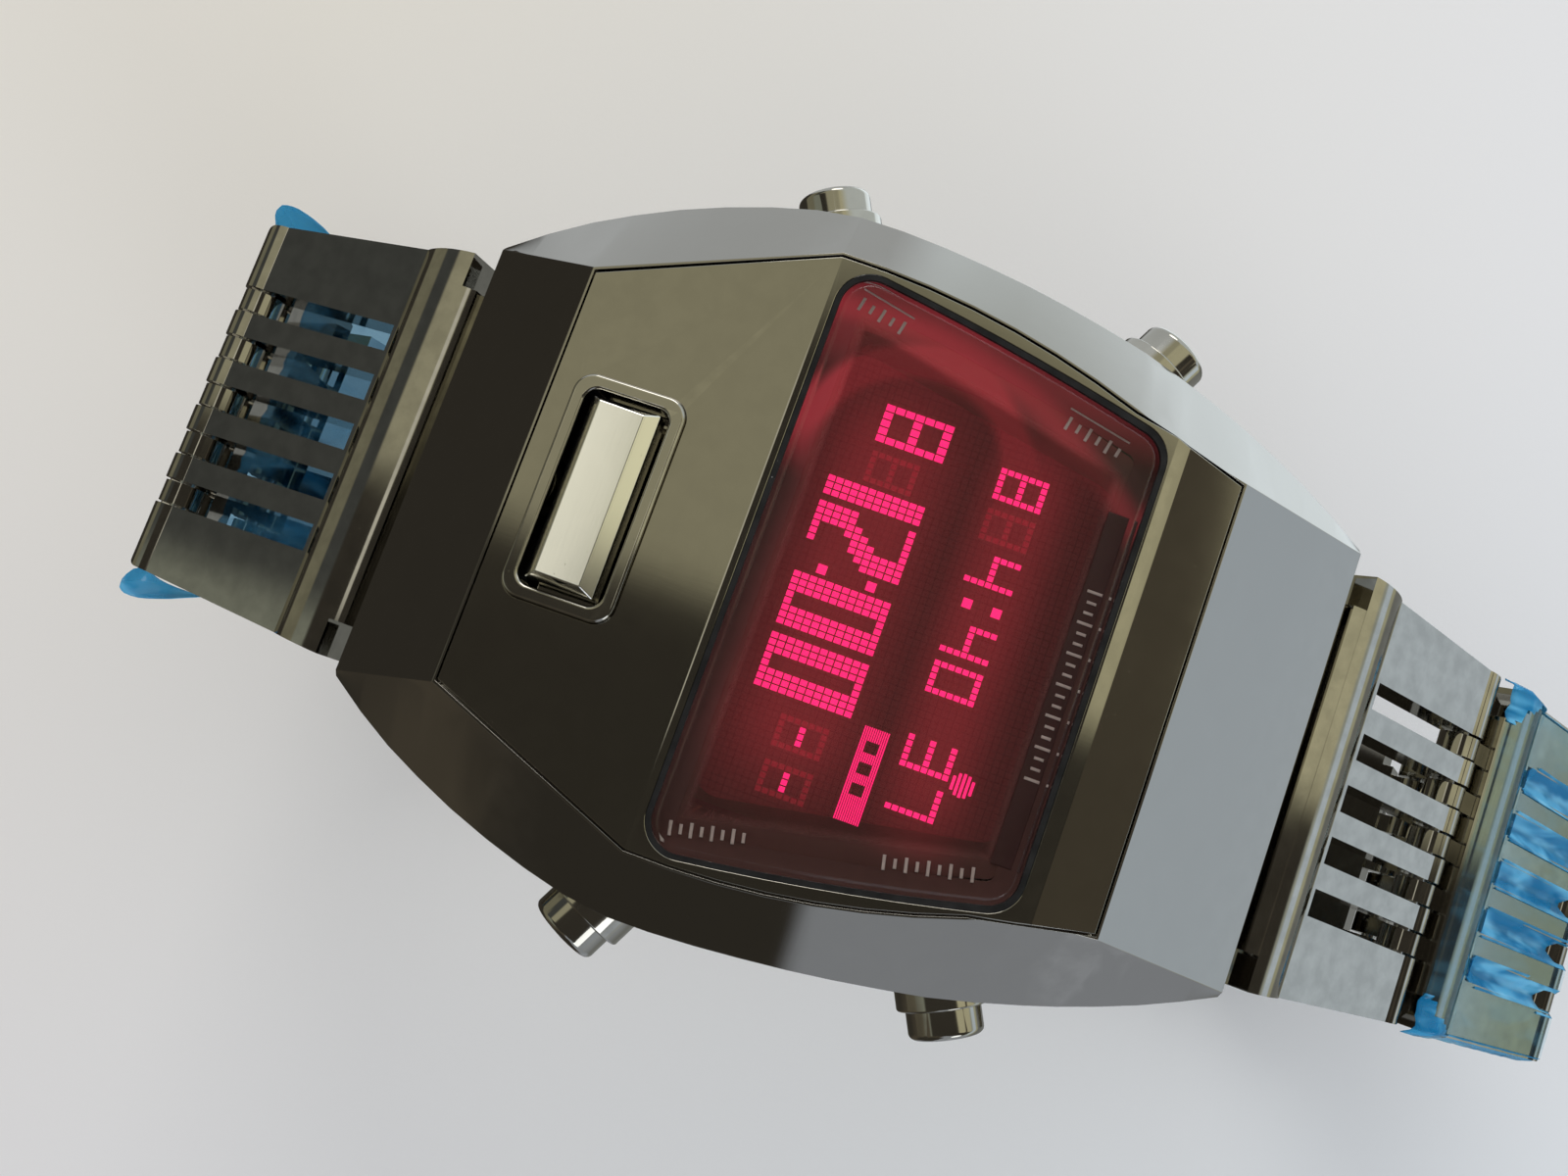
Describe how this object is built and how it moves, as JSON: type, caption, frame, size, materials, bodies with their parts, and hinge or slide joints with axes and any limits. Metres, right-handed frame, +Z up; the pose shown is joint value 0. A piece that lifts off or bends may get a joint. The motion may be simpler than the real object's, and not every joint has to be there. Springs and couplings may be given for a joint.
{
  "type": "digital wristwatch on a folding-clasp metal bracelet",
  "caption": "Digital wristwatch with faceted metal case, glowing matrix display behind a dark red crystal, side pushers, front button and comb-link bracelet with fold-over clasp.",
  "frame": {"origin": "on the clasp's flat underside, straight below the middle of the dial; the watch stands there on its closed clasp", "axes": "+X to 3 o'clock, +Y to 12 o'clock, +Z up, out of the dial"},
  "size_m": [0.0442, 0.0954, 0.0542],
  "materials": {
    "case_metal": "fine vertical brushing with a thin gunmetal coat",
    "cover_metal": "fine brushing along the length, gunmetal coat",
    "polished": "polished",
    "bracelet_metal": "satin with polished domed bands",
    "pin_steel": "ground",
    "spring_steel": "drawn wire and rolled strip",
    "crystal": "dark red mineral glass, polished",
    "seal_rubber": "matte",
    "mask_print": "printed film",
    "panel_plastic": "dark red light matrix with small square cells",
    "board": "green lacquered circuit board",
    "chip_plastic": "moulded",
    "can_metal": "drawn",
    "frame_plastic": "moulded",
    "battery_steel": "stamped",
    "contact_metal": "gilt",
    "buzzer_metal": "rolled",
    "back_metal": "circular brushing",
    "film_blue": "clear blue protective film"
  },
  "bodies": {
    "case": {"mid_case": "case_metal", "front_cover": "cover_metal", "crystal": "crystal", "crystal_gasket": "seal_rubber", "display_mask": "mask_print", "display_panel": "panel_plastic", "circuit_board": "board", "driver_chips": "chip_plastic", "timing_crystal": "can_metal", "module_frame": "frame_plastic", "battery": "battery_steel", "battery_strap": "contact_metal", "contact_springs": "contact_metal", "buzzer": "buzzer_metal", "case_back": "back_metal", "case_back_gasket": "seal_rubber", "case_back_screws": "pin_steel", "button_frame": "polished", "front_button_spring": "spring_steel", "spring_bars": "pin_steel", "pusher_collars": "polished", "pusher_seals": "seal_rubber", "pusher_springs": "spring_steel"},
    "front_button": {"front_button": "polished", "front_button_clip": "spring_steel"},
    "pusher_9_upper": {"pusher_9_upper": "polished", "pusher_clip_9_upper": "spring_steel"},
    "pusher_3_upper": {"pusher_3_upper": "polished", "pusher_clip_3_upper": "spring_steel"},
    "pusher_9_lower": {"pusher_9_lower": "polished", "pusher_clip_9_lower": "spring_steel"},
    "pusher_3_lower": {"pusher_3_lower": "polished", "pusher_clip_3_lower": "spring_steel"},
    "link_12_1": {"link_12_1": "bracelet_metal", "link_pin_12_1": "pin_steel"},
    "link_12_2": {"link_12_2": "bracelet_metal", "link_pin_12_2": "pin_steel", "film_12_2": "film_blue"},
    "link_12_3": {"link_12_3": "bracelet_metal", "link_pin_12_3": "pin_steel"},
    "link_12_4": {"link_12_4": "bracelet_metal", "link_pin_12_4": "pin_steel"},
    "link_12_5": {"link_12_5": "bracelet_metal", "clasp_spring_bar": "pin_steel"},
    "link_6_1": {"link_6_1": "bracelet_metal", "link_pin_6_1": "pin_steel", "film_6_1": "film_blue"},
    "link_6_2": {"link_6_2": "bracelet_metal", "link_pin_6_2": "pin_steel"},
    "link_6_3": {"link_6_3": "bracelet_metal", "link_pin_6_3": "pin_steel"},
    "link_6_4": {"link_6_4": "bracelet_metal", "link_pin_6_4": "pin_steel"},
    "link_6_5": {"link_6_5": "bracelet_metal"},
    "inner_blade": {"clasp_inner_blade": "back_metal", "clasp_inner_pin": "pin_steel"},
    "outer_blade": {"clasp_outer_blade": "back_metal", "clasp_fold_pin": "pin_steel"},
    "clasp_cover": {"clasp_cover": "bracelet_metal", "clasp_cover_pin": "pin_steel"}
  },
  "joints": [
    {"name": "pusher_9_upper_press", "type": "slide", "parent": "case", "child": "pusher_9_upper", "axis": [0.891, -0.454, 0], "range_m": [0, 0.0009], "stiffness_N_per_m": 1200, "springref_m": -0.0012},
    {"name": "pusher_3_upper_press", "type": "slide", "parent": "case", "child": "pusher_3_upper", "axis": [-0.891, -0.454, 0], "range_m": [0, 0.0009], "stiffness_N_per_m": 1200, "springref_m": -0.0012},
    {"name": "pusher_9_lower_press", "type": "slide", "parent": "case", "child": "pusher_9_lower", "axis": [0.891, 0.454, 0], "range_m": [0, 0.0009], "stiffness_N_per_m": 1200, "springref_m": -0.0012},
    {"name": "pusher_3_lower_press", "type": "slide", "parent": "case", "child": "pusher_3_lower", "axis": [-0.891, 0.454, 0], "range_m": [0, 0.0009], "stiffness_N_per_m": 1200, "springref_m": -0.0012},
    {"name": "front_button_press", "type": "slide", "parent": "case", "child": "front_button", "axis": [0, 0.1362, -0.9907], "range_m": [0, 0.0006], "stiffness_N_per_m": 1500, "springref_m": -0.001},
    {"name": "link_12_1_hinge", "type": "hinge", "parent": "case", "child": "link_12_1", "pos_m": [0, 0.0242, 0.04328], "axis": [1, 0, 0], "range_deg": [0, 34]},
    {"name": "link_12_2_hinge", "type": "hinge", "parent": "link_12_1", "child": "link_12_2", "pos_m": [0, 0.03788, 0.03406], "axis": [1, 0, 0], "range_deg": [0, 2]},
    {"name": "link_12_3_hinge", "type": "hinge", "parent": "link_12_2", "child": "link_12_3", "pos_m": [0, 0.05123, 0.02436], "axis": [1, 0, 0], "range_deg": [0, 74]},
    {"name": "link_12_4_hinge", "type": "hinge", "parent": "link_12_3", "child": "link_12_4", "pos_m": [0, 0.04559, 0.00885], "axis": [1, 0, 0], "range_deg": [0, 40]},
    {"name": "link_12_5_hinge", "type": "hinge", "parent": "link_12_4", "child": "link_12_5", "pos_m": [0, 0.03779, 0.00435], "axis": [1, 0, 0], "range_deg": [0, 22]},
    {"name": "link_6_1_hinge", "type": "hinge", "parent": "case", "child": "link_6_1", "pos_m": [0, -0.0242, 0.04328], "axis": [-1, 0, 0], "range_deg": [0, 19]},
    {"name": "link_6_2_hinge", "type": "hinge", "parent": "link_6_1", "child": "link_6_2", "pos_m": [0, -0.0398, 0.03791], "axis": [-1, 0, 0], "range_deg": [0, 66]},
    {"name": "link_6_3_hinge", "type": "hinge", "parent": "link_6_2", "child": "link_6_3", "pos_m": [0, -0.04124, 0.02147], "axis": [-1, 0, 0], "range_deg": [0, 43]},
    {"name": "link_6_4_hinge", "type": "hinge", "parent": "link_6_3", "child": "link_6_4", "pos_m": [0, -0.03108, 0.00847], "axis": [-1, 0, 0], "range_deg": [0, 24]},
    {"name": "link_6_5_hinge", "type": "hinge", "parent": "link_6_4", "child": "link_6_5", "pos_m": [0, -0.02313, 0.00425], "axis": [-1, 0, 0], "range_deg": [0, 22]},
    {"name": "inner_blade_hinge", "type": "hinge", "parent": "link_6_5", "child": "inner_blade", "pos_m": [0, -0.01418, 0.00331], "axis": [-1, 0, 0], "range_deg": [0, 40]},
    {"name": "clasp_fold", "type": "hinge", "parent": "inner_blade", "child": "outer_blade", "pos_m": [0, 0.02198, 0.00391], "axis": [1, 0, 0], "range_deg": [0, 140]},
    {"name": "clasp_cover_turn", "type": "hinge", "parent": "outer_blade", "child": "clasp_cover", "pos_m": [0, -0.00898, 0.00265], "axis": [1, 0, 0], "range_deg": [-140, 0]}
  ],
  "couplings": [
    {"joint": "clasp_cover_turn", "follows": "clasp_fold", "ratio": -1}
  ]
}
